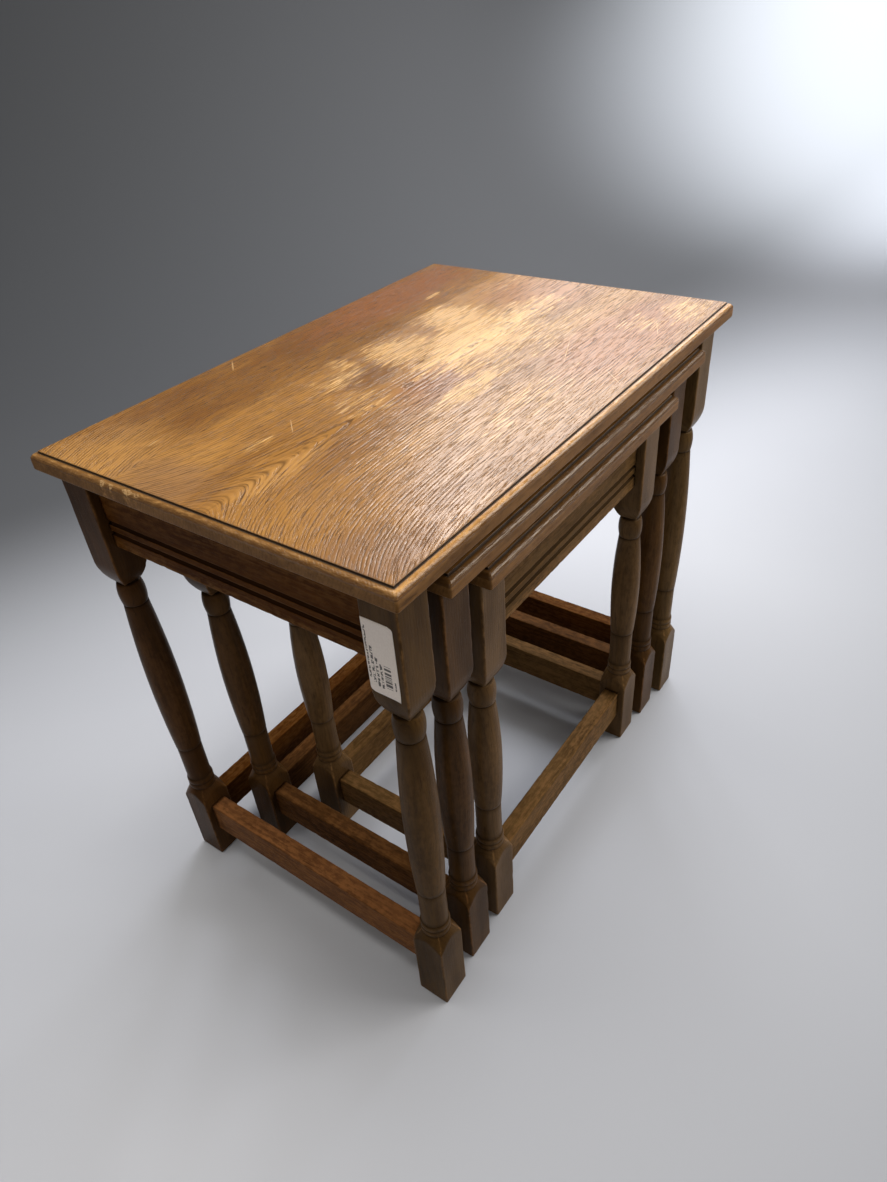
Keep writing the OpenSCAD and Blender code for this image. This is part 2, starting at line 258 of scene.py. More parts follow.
def scratch(s, x, y, start, end, width):
    """1 on a straight scratch between two points of the top, 0 elsewhere."""
    along = Vector(end) - Vector(start)
    length = along.length
    ux, uy = along / length
    rx, ry = s.math("SUBTRACT", x, start[0]), s.math("SUBTRACT", y, start[1])
    run = s.math("ADD", s.math("MULTIPLY", rx, ux), s.math("MULTIPLY", ry, uy))
    off = s.math("ABSOLUTE", s.math("SUBTRACT", s.math("MULTIPLY", rx, uy),
                                    s.math("MULTIPLY", ry, ux)))
    inside = s.math("MULTIPLY", s.step(run, 0.0, 0.3 * length),
                    s.math("SUBTRACT", 1.0, s.step(run, 0.6 * length, length)))
    edge = s.math("SUBTRACT", 1.0, s.step(off, 0.2 * width, width))
    return s.math("MULTIPLY", inside, edge)


def patches(s, x, y, places, ragged):
    """Soft-edged patches of a top as one 0 to 1 field, from (centre, radii, strength) places."""
    total = 0.0
    for centre, radii, amount in places:
        dx = s.math("DIVIDE", s.math("SUBTRACT", x, centre[0]), radii[0])
        dy = s.math("DIVIDE", s.math("SUBTRACT", y, centre[1]), radii[1])
        square = s.math("ADD", s.math("MULTIPLY", dx, dx), s.math("MULTIPLY", dy, dy))
        reach = s.math("ADD", s.math("SQRT", square), ragged)
        one = s.math("MULTIPLY", s.math("SUBTRACT", 1.0, s.step(reach, 0.45, 1.45)), amount)
        total = s.math("MAXIMUM", total, one)
    return total


# Worn pale patches of the large top: centre, radii, and how pale
PALE_PATCHES = [((0.078, -0.004), (0.092, 0.040), 1.0), ((0.118, 0.046), (0.040, 0.036), 0.80),
                ((0.026, 0.036), (0.038, 0.040), 0.74), ((0.165, -0.010), (0.050, 0.030), 0.60),
                ((-0.050, 0.048), (0.034, 0.018), 0.60), ((-0.025, 0.066), (0.014, 0.020), 0.52),
                ((-0.015, -0.062), (0.050, 0.015), 0.80), ((0.034, -0.045), (0.036, 0.026), 0.66),
                ((-0.080, 0.000), (0.030, 0.028), 0.42), ((0.110, -0.056), (0.085, 0.026), 0.50),
                ((0.225, -0.146), (0.034, 0.026), 0.62), ((0.175, -0.125), (0.026, 0.026), 0.48),
                ((-0.020, -0.115), (0.080, 0.026), 0.42), ((0.165, 0.105), (0.014, 0.006), 0.60),
                ((-0.172, 0.025), (0.016, 0.007), 0.48), ((0.225, 0.055), (0.040, 0.016), 0.36)]
# Darker patches, duller grey ones along the left end, and where the
# finish is more golden or redder, all in the same way
DARK_PATCHES = [((-0.030, 0.030), (0.040, 0.022), 0.9), ((-0.022, -0.030), (0.034, 0.026), 0.8),
                ((-0.110, 0.125), (0.120, 0.045), 0.7), ((0.030, 0.095), (0.080, 0.022), 0.5),
                ((0.100, 0.140), (0.220, 0.038), 1.0), ((-0.245, -0.140), (0.040, 0.034), 0.4)]
GREY_PATCHES = [((-0.243, 0.045), (0.028, 0.045), 0.9), ((-0.243, -0.142), (0.030, 0.030), 0.9),
                ((-0.200, 0.150), (0.050, 0.020), 0.4)]
GOLD_PATCHES = [((-0.250, 0.120), (0.060, 0.060), 1.0), ((-0.245, -0.060), (0.060, 0.070), 0.3),
                ((-0.200, -0.022), (0.050, 0.012), 1.0), ((-0.250, 0.060), (0.050, 0.060), 0.6)]
RED_PATCHES = [((0.140, -0.125), (0.110, 0.045), 1.0), ((0.150, 0.140), (0.130, 0.040), 0.8),
               ((0.215, 0.010), (0.050, 0.060), 0.7), ((-0.010, -0.030), (0.060, 0.030), 0.5)]
# Thin scratches of the large top: start, end and width
SCRATCHES = [((-0.079, 0.148), (-0.060, 0.170), 0.9 * MM), ((-0.146, 0.012), (-0.126, 0.034), 0.5 * MM),
             ((0.060, -0.105), (0.120, -0.080), 0.5 * MM), ((0.150, -0.150), (0.196, -0.128), 0.5 * MM),
             ((0.040, -0.168), (0.066, -0.140), 0.5 * MM), ((-0.215, 0.098), (-0.200, 0.101), 0.8 * MM)]
# Colours of the finish where it is worn, on the large top and its edge, and of dirt and painted shade
# in the cuts
DARK_FINISH, RED_FINISH = (0.150, 0.062, 0.015), (0.32, 0.125, 0.050)
GOLD_FINISH, DULL_FINISH = (0.54, 0.300, 0.098), (0.22, 0.125, 0.070)
PALE_WOOD, SCRATCHED_WOOD, BARE_WOOD = (0.68, 0.425, 0.165), (0.66, 0.46, 0.24), (0.60, 0.40, 0.20)
# The second edge colour is a painted highlight on the crest of the large top's moulding, and the third
# is rubbed wear lightened as a painted highlight.
DARK_EDGE, PAINTED_HIGHLIGHT_EDGE, RUBBED_AND_HIGHLIGHT_EDGE = (0.120, 0.055, 0.016), (0.370, 0.195, 0.062), (0.60, 0.350, 0.130)
SMALL_EDGE = (0.110, 0.054, 0.018)
# The first two colours are near-black dirt and painted shade for the cuts, grooves and undersides.
TOP_DIRT_AND_SHADE, FRAME_DIRT_AND_SHADE, FRAME_LINE = (0.014, 0.008, 0.004), (0.012, 0.008, 0.005), (0.018, 0.010, 0.005)
SAWN_LIGHT, SAWN_DARK = (0.34, 0.21, 0.11), (0.17, 0.10, 0.05)
STEEL, TARNISH = (0.42, 0.40, 0.37), (0.16, 0.12, 0.09)
WORN_FINISH = [(DARK_PATCHES, 0.80, DARK_FINISH), (RED_PATCHES, 0.70, RED_FINISH),
               (GOLD_PATCHES, 0.60, GOLD_FINISH), (GREY_PATCHES, 0.6, DULL_FINISH)]
BOARD_JOINT = (80.0 * MM, 81.2 * MM)  # y across the joint of the large top's back board
# The next two bands place the painted highlight on the moulding: on its crest, strongest along the
# front.
FRONT_EDGE = (-174.0 * MM, -171.5 * MM)  # y from the front edge of the large top inwards
EDGE_CREST = (481.2 * MM, 483.2 * MM)  # z up to the crest of the large top's moulding


def top_figure(s, x, y, z, slow):
    """A place across the grain, the same across the rings, and 1 on the back board.

    The front board has a cathedral figure near its left end, whose arches point right."""
    jagged = s.noise(s.scaled(x, y, z, 45, 300, 100), detail=2.0)
    wavy = s.math("ADD", s.math("MULTIPLY", s.math("SUBTRACT", slow, 0.5), 0.006),
                  s.math("MULTIPLY", s.math("SUBTRACT", jagged, 0.5), 0.0016))
    across = s.math("ADD", y, wavy)
    decay = s.math("POWER", 2.718, s.math("DIVIDE", s.math("ADD", x, 0.26), -0.050))
    fade = s.math("MULTIPLY", decay, 0.085)
    arch = s.math("SQRT", s.math("ADD", s.math("POWER", s.math("ADD", across, 0.012), 2.0), 0.00014))
    board = s.step(y, *BOARD_JOINT)
    field = s.node("ShaderNodeMix", data_type="FLOAT")
    s.put(field.inputs[0], board)
    s.put(field.inputs[2], s.math("SUBTRACT", arch, s.math("MULTIPLY", fade, 0.42)))
    s.put(field.inputs[3], s.math("ADD", across, s.math("MULTIPLY", fade, 0.34)))
    return across, s.math("ADD", field.outputs[0], z), board


def worn_finish(s, x, y, z, across, colour):
    """The colour with the large top's patches over it, and the pale ones as a 0 to 1 field."""
    ragged = s.noise(s.scaled(x, y, z, 30, 190, 20), detail=5.0, rough=0.65)
    ragged = s.math("MULTIPLY", s.math("SUBTRACT", ragged, 0.5), 1.7)
    streaks = s.noise(s.scaled(x, across, z, 48, 620, 20), detail=4.0, rough=0.65)
    for places, amount, tint in WORN_FINISH:
        colour = s.mix(s.math("MULTIPLY", patches(s, x, y, places, ragged), amount), colour, tint)
    soft = patches(s, x, y, PALE_PATCHES, ragged)
    pale = s.step(s.math("ADD", soft, s.math("MULTIPLY", s.math("SUBTRACT", streaks, 0.5), 2.4)),
                  0.26, 0.92)
    pale = s.math("MULTIPLY", pale, s.step(soft, 0.02, 0.30))
    return s.mix(s.math("MULTIPLY", pale, 0.88), colour, PALE_WOOD), pale


def moulded_edge(s, x, y, z, large, colour, rough):
    """Colour and roughness with the edge: darker, rubbed along its length, bare where dented, with dirt
    and painted shade in its cuts; on the large top the moulding's crest gets a painted highlight,
    strongest at the front.
    """
    wear = s.field("wear").outputs["Fac"]
    grime_and_shade = s.field("grime_and_shade").outputs["Fac"]
    streaky = s.noise(s.scaled(s.math("ADD", x, y), z, 0.0, 110, 900, 0), detail=4.0, rough=0.6)
    crumbs = s.noise(s.scaled(x, y, z, 500, 500, 500), detail=3.0, rough=0.7)
    moulding, rub_and_highlight = SMALL_EDGE, 0.08
    if large:
        # Painted highlight: the crest of the large top's moulding is lighter, most of all along the
        # front, and its rub is brighter there.
        front = s.math("SUBTRACT", 1.0, s.step(y, *FRONT_EDGE))
        painted_highlight = s.math("MULTIPLY", s.step(z, *EDGE_CREST),
                     s.math("ADD", 0.45, s.math("MULTIPLY", front, 0.55)))
        moulding = s.mix(painted_highlight, DARK_EDGE, PAINTED_HIGHLIGHT_EDGE)
        rub_and_highlight = s.math("ADD", 0.30, s.math("MULTIPLY", painted_highlight, 0.40))
    colour = s.mix(s.math("MULTIPLY", s.step(wear, 0.02, 0.20), 0.90), colour, moulding)
    rub = s.math("MULTIPLY", wear, s.step(streaky, 0.44, 0.66))
    colour = s.mix(s.math("MULTIPLY", rub, rub_and_highlight), colour, RUBBED_AND_HIGHLIGHT_EDGE)
    rough = s.math("SUBTRACT", rough, s.math("MULTIPLY", wear, 0.06))
    bare = s.math("MULTIPLY", s.step(wear, 1.02, 1.25), s.step(crumbs, 0.38, 0.56))
    colour = s.mix(s.math("MULTIPLY", bare, 0.85), colour, BARE_WOOD)
    # Dirt and painted shade darken the quirk and the underside of the edge.
    colour = s.mix(s.math("MULTIPLY", grime_and_shade, 0.93), colour, TOP_DIRT_AND_SHADE)
    return colour, s.math("ADD", rough, s.math("MULTIPLY", grime_and_shade, 0.35))


def top_oak(name, large, light, dark, line_colour):
    """Satin golden oak with open grain and painted sheen streaks along it; the large top also has its
    wear and scratches, and a painted highlight on its moulding.
    """
    s = Shader(name)
    x, y, z = s.split(s.field("grain").outputs["Vector"])
    slow = s.noise(s.scaled(x, y, z, 3.2, 13, 13), detail=2.0)
    across, field, board = top_figure(s, x, y, z, slow)
    line, pores = open_grain(s, x, field, z, TOP_RINGS)
    patchy = s.noise(s.scaled(x, y, z, 9, 30, 20), detail=4.0, rough=0.6)
    tone = s.math("ADD", s.math("MULTIPLY", slow, 0.4), s.math("MULTIPLY", patchy, 0.6))
    tone = s.math("ADD", tone, s.math("MULTIPLY", board, 0.07))
    colour = s.mix(s.step(tone, 0.34, 0.68), light, dark)
    # Painted highlight: streaks along the grain are lightened as a painted sheen.
    painted_gloss_lines = s.noise(s.scaled(x, across, z, 34, 620, 400), detail=2.0)
    painted_gloss_colour = tuple(min(1.35 * c, 1.0) for c in light)
    colour = s.mix(s.math("MULTIPLY", s.step(painted_gloss_lines, 0.50, 0.70), 0.40), colour, painted_gloss_colour)
    if large:
        colour, pale = worn_finish(s, x, y, z, across, colour)
    colour = s.mix(s.math("MULTIPLY", line, 0.70 if large else 0.66), colour, line_colour)
    colour = s.mix(s.math("MULTIPLY", pores, 0.62), colour, line_colour)
    rough = s.math("ADD", 0.13, s.math("MULTIPLY", patchy, 0.16))
    height = s.math("SUBTRACT", 1.0, s.math("MAXIMUM", s.math("MULTIPLY", line, 0.7), pores))
    if large:
        cut = 0.0
        for start, end, width in SCRATCHES:
            cut = s.math("MAXIMUM", cut, scratch(s, x, y, start, end, width))
        colour = s.mix(s.math("MULTIPLY", cut, 0.60), colour, SCRATCHED_WOOD)
        rough = s.math("ADD", rough, s.math("MULTIPLY", pale, 0.08))
        height = s.math("SUBTRACT", height, s.math("MULTIPLY", cut, 0.6))
    colour, rough = moulded_edge(s, x, y, z, large, colour, rough)
    # The back board has cupped a little, so its sheen ends at the joint
    past_joint = s.math("MAXIMUM", s.math("SUBTRACT", y, sum(BOARD_JOINT) / 2), 0.0)
    cupped = s.bump(s.math("MULTIPLY", past_joint, -0.06), 1.0)
    normal = s.bump(height, 0.20 * MM, 0.7, cupped)
    return s.finish(colour, rough, normal, Specular_IOR_Level=0.33)


def frame_oak(name, base, deep, worn, gloss=0.01):
    """Dark stained oak of the legs, aprons and stretchers, rubbed light along its edges, with dirt and
    painted shade in its cuts and grooves.
    """
    s = Shader(name)
    u, v, w = s.split(s.field("grain").outputs["Vector"])
    slow = s.noise(s.scaled(u, v, w, 5, 30, 30), detail=2.0)
    field = s.math("ADD", s.math("ADD", v, s.math("MULTIPLY", w, 0.35)),
                   s.math("MULTIPLY", s.math("SUBTRACT", slow, 0.5), 0.010))
    line, pores = open_grain(s, u, field, w, FRAME_RINGS)
    cloud = s.noise(s.scaled(u, v, w, 12, 50, 50), detail=3.0, rough=0.5)
    colour = s.mix(s.step(cloud, 0.30, 0.72), base, deep)
    colour = s.mix(s.math("MULTIPLY", s.math("ADD", line, pores), 0.30), colour, FRAME_LINE)
    wear = s.field("wear").outputs["Fac"]
    grime_and_shade = s.field("grime_and_shade").outputs["Fac"]
    scuffs = s.noise(s.scaled(u, v, w, 120, 240, 240), detail=3.0, rough=0.65)
    streak = s.noise(s.scaled(u, v, w, 25, 500, 500), detail=2.0)
    rub = s.math("MULTIPLY", wear, s.step(s.math("ADD", s.math("MULTIPLY", scuffs, 0.6),
                                                 s.math("MULTIPLY", streak, 0.4)), 0.40, 0.62))
    colour = s.mix(s.math("MULTIPLY", rub, 0.75), colour, worn)
    flecks = s.step(s.noise(s.scaled(u, v, w, 260, 700, 700), detail=2.0), 0.72, 0.80)
    colour = s.mix(s.math("MULTIPLY", flecks, 0.35), colour, worn)
    # Dirt and painted shade darken the cuts and grooves.
    colour = s.mix(s.math("MULTIPLY", grime_and_shade, 0.75), colour, FRAME_DIRT_AND_SHADE)
    rough = s.math("ADD", 0.25, s.math("MULTIPLY", cloud, 0.16))
    rough = s.math("ADD", rough, s.math("MULTIPLY", grime_and_shade, 0.2))
    height = s.math("SUBTRACT", 1.0, s.math("MAXIMUM", s.math("MULTIPLY", line, 0.5), pores))
    height = s.math("ADD", height, s.math("MULTIPLY", cloud, 1.2))
    normal = s.bump(height, 0.12 * MM, 0.5)
    return s.finish(colour, rough, normal, Specular_IOR_Level=gloss)


def plain_oak(name):
    """Bare sawn wood of the glue blocks."""
    s = Shader(name)
    x, y, z = s.split(s.node("ShaderNodeTexCoord").outputs["Object"])
    saw = s.noise(s.scaled(x, y, z, 90, 90, 900), detail=3.0, rough=0.6)
    colour = s.mix(s.step(saw, 0.35, 0.7), SAWN_LIGHT, SAWN_DARK)
    return s.finish(colour, 0.8, s.bump(saw, 0.3 * MM, 0.6))


def screw_steel(name):
    """Dull steel of the wood screws."""
    s = Shader(name)
    coords = s.node("ShaderNodeTexCoord").outputs["Object"]
    tarnish = s.noise(coords, detail=4.0, rough=0.6, scale=700.0)
    colour = s.mix(s.step(tarnish, 0.4, 0.65), STEEL, TARNISH)
    rough = s.math("ADD", 0.35, s.math("MULTIPLY", tarnish, 0.3))
    return s.finish(colour, rough, s.bump(tarnish, 0.05 * MM, 0.4), Metallic=0.9)


# Printed rows of the label: centre and width across it, start and end up it, all as shares
LABEL_ROWS = [(0.07, 0.07, 0.20, 0.90), (0.20, 0.09, 0.14, 0.66), (0.33, 0.09, 0.10, 0.52),
              (0.46, 0.08, 0.10, 0.44), (0.88, 0.05, 0.14, 0.26)]
LABEL_BARS = (0.67, 0.24, 0.13, 0.44)
PAPER, PAPER_FIBRE, INK = (0.84, 0.78, 0.74), (0.78, 0.72, 0.68), (0.030, 0.028, 0.028)


def label_paper(name, low, high):
    """Off-white sticker with plain grey dashes and a plain block of bars, no lettering."""
    s = Shader(name)
    x, y, z = s.split(s.node("ShaderNodeTexCoord").outputs["Object"])
    across = s.math("DIVIDE", s.math("SUBTRACT", high.y, y), high.y - low.y)
    up = s.math("DIVIDE", s.math("SUBTRACT", z, low.z), high.z - low.z)

    def inside(centre, width, start, end):
        off = s.math("ABSOLUTE", s.math("SUBTRACT", across, centre))
        row = s.math("SUBTRACT", 1.0, s.step(off, 0.42 * width, 0.5 * width))
        span = s.math("MULTIPLY", s.math("GREATER_THAN", up, start), s.math("LESS_THAN", up, end))
        return s.math("MULTIPLY", row, span)

    ink = 0.0
    for number, row in enumerate(LABEL_ROWS):
        marks = s.noise(s.join(number * 7.3, s.math("MULTIPLY", across, 14.0),
                               s.math("MULTIPLY", z, 800.0)), detail=0.0)
        one = s.math("MULTIPLY", inside(*row), s.step(marks, 0.43, 0.49))
        ink = s.math("MAXIMUM", ink, one)
    stripes = s.noise(s.join(3.1, 0.0, s.math("MULTIPLY", z, 820.0)), detail=0.0)
    ink = s.math("MAXIMUM", ink, s.math("MULTIPLY", inside(*LABEL_BARS), s.step(stripes, 0.46, 0.50)))
    fibre = s.noise(s.scaled(x, y, z, 900, 900, 900), detail=3.0)
    paper = s.mix(s.step(fibre, 0.3, 0.7), PAPER, PAPER_FIBRE)
    colour = s.mix(s.math("MULTIPLY", ink, 0.92), paper, INK)
    return s.finish(colour, 0.55, s.bump(fibre, 0.05 * MM, 0.3))


# ---------------------------------------------------------------- tops
def rounded_ring(half_x, half_y, radius, side_x, side_y, corner_steps=4):
    """Points round a rectangle with rounded corners: side_x and side_y are points per side."""
    points = []
    corners = [(1, -1, -90), (1, 1, 0), (-1, 1, 90), (-1, -1, 180)]
    for number, (sx, sy, start) in enumerate(corners):
        cx, cy = sx * (half_x - radius), sy * (half_y - radius)
        angles = np.radians(start + np.linspace(0, 90, corner_steps + 1))
        arc = np.stack([cx + radius * np.cos(angles), cy + radius * np.sin(angles)], -1)
        points.append(arc)
        nx, ny, nstart = corners[(number + 1) % 4]
        first = np.array([nx * (half_x - radius) + radius * math.cos(math.radians(nstart)),
                          ny * (half_y - radius) + radius * math.sin(math.radians(nstart))])
        count = side_y if number % 2 == 0 else side_x
        share = (np.arange(1, count) / count)[:, None]
        points.append(arc[-1] + (first - arc[-1]) * share)
    return np.concatenate(points)


def top_profile(low, high):
    """Rows of a top's skin from the middle of its face round its edge: inset, z, wear, and dirt with
    painted shade in the quirk and under the edge.
    """
    rows = [(QUIRK_IN + 8 * MM, high, 0, 0), (QUIRK_IN + 1.2 * MM, high, 0, 0.0),
            (QUIRK_IN + 0.35 * MM, high - 0.03 * MM, 0.1, 0.25),
            (QUIRK_IN + 0.08 * MM, high - 0.20 * MM, 0, 0.7),
            (QUIRK_IN, high - 0.5 * MM, 0, 1), (QUIRK_IN, high - QUIRK_D + 0.1 * MM, 0, 1),
            (QUIRK_IN - 0.2 * MM, high - QUIRK_D, 0, 1), (OVOLO_R + 0.3 * MM, high - QUIRK_D, 0.1, 0.9)]
    centre = high - QUIRK_D - OVOLO_R
    for k in range(11):
        turn = math.radians(90 - 9 * k)
        wear = 0.35 + 0.65 * math.sin(math.pi * min(k / 8.0, 1.0))
        rows.append((OVOLO_R - OVOLO_R * math.cos(turn), centre + OVOLO_R * math.sin(turn), wear,
                     0.2 if k == 0 else 0))
    rows.append((0, centre - 1.2 * MM, 0.35, 0))
    rows.append((0, (centre + low + ARRIS_R) / 2, 0.15, 0))
    for k in range(5):
        turn = math.radians(22.5 * k)
        rows.append((ARRIS_R - ARRIS_R * math.cos(turn), low + ARRIS_R - ARRIS_R * math.sin(turn),
                     0.45 if k in (1, 2, 3) else 0.2, 0))
    rows.append((8 * MM, low, 0, 0.2))
    return rows


# Dents in the edge of the large top: a point near each, its reach, depth and how bare it is
DENTS = [((-0.265, 0.088), 3 * MM, 1.0 * MM, 1), ((-0.265, 0.078), 2 * MM, 0.9 * MM, 1),
         ((-0.265, 0.060), 4 * MM, 0.9 * MM, 1), ((-0.265, 0.050), 3 * MM, 0.7 * MM, 0.6),
         ((-0.265, 0.010), 4 * MM, 0.4 * MM, 0), ((-0.265, -0.060), 3 * MM, 0.5 * MM, 0),
         ((-0.265, -0.140), 4 * MM, 0.35 * MM, 0), ((-0.200, -0.1775), 4 * MM, 0.4 * MM, 0),
         ((-0.060, -0.1775), 6 * MM, 0.35 * MM, 0), ((0.100, -0.1775), 4 * MM, 0.4 * MM, 0),
         ((0.190, -0.1775), 3 * MM, 0.4 * MM, 0), ((-0.265, -0.1775), 4 * MM, 0.6 * MM, 0.3),
         ((0.265, -0.1775), 4 * MM, 0.6 * MM, 0.2)]


def build_top(table, material, edge, seed, spacing, dents=()):
    """A top with its moulded edge, slightly uneven along it; edge is its sides' material."""
    node = table + "_top"
    low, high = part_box(node)
    middle = (low + high) / 2
    half = (high - low) / 2
    side_x, side_y = int(2 * half.x / spacing), int(2 * half.y / spacing)
    rows = top_profile(low.z, high.z)
    rings, wear, grime_and_shade = [], [], []
    for inset, z, rub, dirt_and_shade in rows:
        radius = 1.8 * MM if inset < OVOLO_R else 0.35 * MM
        flat = rounded_ring(half.x - inset, half.y - inset, radius, side_x, side_y)
        flat += (middle.x, middle.y)
        run = flat[:, 0] + 1.7 * flat[:, 1]
        uneven = 0.10 * MM * rub * wobble(run, seed, (0.011, 0.029, 0.067))
        inward = np.array([middle.x, middle.y]) - flat
        inward /= np.maximum(np.abs(inward) / (half.x, half.y), 1e-6).max(1)[:, None]
        inward /= np.linalg.norm(inward, axis=1)[:, None]
        push = np.abs(uneven)
        local = np.full(len(flat), float(rub))
        for (dx, dy), reach, depth, bare in dents:
            away = np.hypot(flat[:, 0] - dx, flat[:, 1] - dy)
            near = np.exp(-(away / reach) ** 2)
            broken = 0.6 + 0.4 * wobble(run, seed + 5, (0.0023, 0.0041))
            push = push + depth * rub * near * broken
            local = np.minimum(local + 0.9 * bare * near * (rub > 0.1), 1.4)
        flat = flat + inward * push[:, None]
        rings.append(np.column_stack([flat, np.full(len(flat), z) - 0.5 * push * (rub > 0.3)]))
        wear.append(local)
        grime_and_shade.append(np.full(len(flat), float(dirt_and_shade)))
    verts, faces = loft(np.array(rings))
    shift = np.array([0.0, 0.0, 0.0]) if dents else np.array([0.37 * seed, 0.11 * seed, 0.05 * seed])
    fields = {"grain": verts + shift, "wear": np.concatenate(wear), "grime_and_shade": np.concatenate(grime_and_shade)}
    piece = add_piece("oak_" + node, verts, faces, fields, material, table + "_table", node)
    piece.data.materials.append(edge)
    below = high.z - QUIRK_D - OVOLO_R + 0.1 * MM
    for face in piece.data.polygons:
        face.material_index = int(face.center.z < below)
    return piece


# ---------------------------------------------------------------- legs
def leg_rows(height):
    """Rows up a leg: z, turned radius, half width of the square, and dirt with painted shade in the
    cuts.
    """
    rows = []

    def run(low, high, count, radius, width, dirt_and_shade=0.0):
        for z in np.linspace(low + 0.02 * MM, high - 0.02 * MM, count):
            rows.append((z, radius(z), width(z), dirt_and_shade))

    half = LEG_W / 2
    slope = (LEG_W / math.sqrt(2) - NECK_R) / CONE_LEN
    ring_z = FOOT_LEN + CONE_LEN
    neck_z = ring_z + 2 * RING_LEN
    shaft_z = neck_z + NECK_LEN + LINE_CUT
    shoulder_z = height - HEAD_LEN - SHOULDER_LEN
    cup_z = shoulder_z - WAIST_LEN - CUP_LEN
    shaft_end = cup_z - LINE_CUT
    swell = shaft_z + SHAFT_LOW * (shaft_end - shaft_z)
    cup_mid = cup_z + CUP_LOW * CUP_LEN
    bend = arc_radius(SHOULDER_LEN, SHOULDER_IN)

    def cone(z):
        return NECK_R + slope * (ring_z - z)

    def wide(z):
        return WIDE

    def shaft(z):
        end = (shaft_z, SHAFT_END_R) if z < swell else (shaft_end, SHAFT_TOP_R)
        return bulge(z, swell, SHAFT_R, *end)

    def cup(z):
        end = (cup_z, CUP_R - LINE_CUT) if z < cup_mid else \
            (shoulder_z - WAIST_LEN, CUP_R - 1.5 * LINE_CUT)
        return bulge(z, cup_mid, CUP_R, *end)

    def shoulder(z):
        drop = height - HEAD_LEN - z
        return half - bend + math.sqrt(bend * bend - drop * drop)

    run(0, SOLE_CUT, 4, cone, lambda z: half - SOLE_CUT + z, 0.5)
    run(SOLE_CUT, FINE_FROM, 10, cone, lambda z: half)
    run(FINE_FROM, ring_z, 34, cone, lambda z: half)
    for k in range(2):
        base = ring_z + k * RING_LEN
        run(base, base + RING_LEN, 11, lambda z: bulge(z, base + RING_LEN / 2, RING_R, base,
                                                      RING_R - RING_IN), wide)
    run(neck_z, shaft_z - LINE_CUT, 9, lambda z: NECK_R, wide)
    run(shaft_z - LINE_CUT, shaft_z, 3, lambda z: NECK_R - 0.7 * MM, wide, 0.8)
    run(shaft_z, shaft_end, 44, shaft, wide)
    run(shaft_end, cup_z, 3, lambda z: SHAFT_TOP_R - 0.8 * MM, wide, 0.8)
    run(cup_z, shoulder_z - WAIST_LEN, 18, cup, wide)
    run(shoulder_z - WAIST_LEN, shoulder_z, 5, lambda z: WAIST_R, wide, 1.0)
    run(shoulder_z, height - HEAD_LEN, 16, wide, shoulder)
    run(height - HEAD_LEN, height, 14, wide, lambda z: half)
    cuts = (ring_z, ring_z + RING_LEN, neck_z, shaft_z - LINE_CUT / 2, shaft_end + LINE_CUT / 2,
            shoulder_z - WAIST_LEN / 2)
    return np.array(rows), cuts


def square_reach(along, across, half, corner):
    """Distance to a square of half width half, with rounded corners, in given directions."""
    flat = half / along
    off_corner = half * across / along > half - corner
    middle = (half - corner) * (along + across)
    side = (half - corner) * (along - across)
    curved = middle + np.sqrt(np.maximum(corner * corner - side * side, 0))
    return np.where(off_corner, curved, flat)


def build_leg(table, name, material, seed):
    """A square and turned leg, as one skin of rings."""
    node = f"{table}_leg_{name}"
    low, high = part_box(node)
    centre = (low + high) / 2
    rows, cuts = leg_rows(high.z - low.z)
    # Tangents of directions from the middle of a side to near its corner, closer at the corner
    edge = np.array([0, .16, .32, .48, .62, .74, .83, .89, .93, .96, .98, .992])
    tangents = np.concatenate([-np.array([1.0]), -edge[:0:-1], edge])
    quarter = np.arctan(tangents)
    angles = np.concatenate([quarter + k * math.pi / 2 for k in range(4)])
    cos, sin = np.abs(np.cos(angles)), np.abs(np.sin(angles))
    along, across = np.maximum(cos, sin), np.minimum(cos, sin)
    z, turned, half, dirt_and_shade = rows.T
    corner = np.minimum(LEG_SOFT, 0.45 * np.minimum(half, LEG_W))[:, None]
    square = square_reach(along[None, :], across[None, :], half[:, None], corner)
    reach = smooth_min(square, np.broadcast_to(turned[:, None], square.shape), 0.28 * MM)
    around = np.broadcast_to(angles[None, :], reach.shape)
    level = np.broadcast_to(z[:, None], reach.shape)
    hand = wobble(level + 0.011 * np.sin(around + seed), seed, (0.021, 0.047, 0.083))
    on_square = np.broadcast_to((half < WIDE)[:, None], reach.shape)
    at_corner = on_square * np.clip((across / along - 0.86) / 0.12, 0, 1)[None, :]
    knocks = np.clip(wobble(level, seed + 9, (0.006, 0.0137, 0.031)) - 0.25, 0, 1)
    reach = reach - 0.06 * MM * (1 + hand) - 0.8 * MM * at_corner * knocks
    shape = np.stack([centre.x + reach * np.cos(around), centre.y + reach * np.sin(around),
                      low.z + level], -1)
    verts, faces = loft(shape)
    proud = np.clip((reach - PROUD_R) / (2 * MM), 0, 1) * (1 - on_square)
    wear = np.maximum(at_corner * 0.9, 0.22 * proud)
    wear = np.maximum(wear, 0.5 * np.exp(-level / (4 * MM)))
    grime_and_shade = np.broadcast_to(dirt_and_shade[:, None], reach.shape).copy()
    # Dirt and painted shade in the cuts, and the foot a little darker all over.
    for cut in cuts:
        grime_and_shade = np.maximum(grime_and_shade, 0.6 * np.exp(-((level - cut) / (1.1 * MM)) ** 2))
    grime_and_shade = np.maximum(grime_and_shade, 0.12 * (level < FOOT_LEN))
    grain = np.stack([level, reach * np.cos(around), reach * np.sin(around)], -1).reshape(-1, 3)
    fields = {"grain": grain + np.array([0.61, 0.13, 0.07]) * seed,
              "wear": wear.ravel(), "grime_and_shade": grime_and_shade.ravel()}
    return add_piece("oak_" + node, verts, faces, fields, material, table + "_table", node)


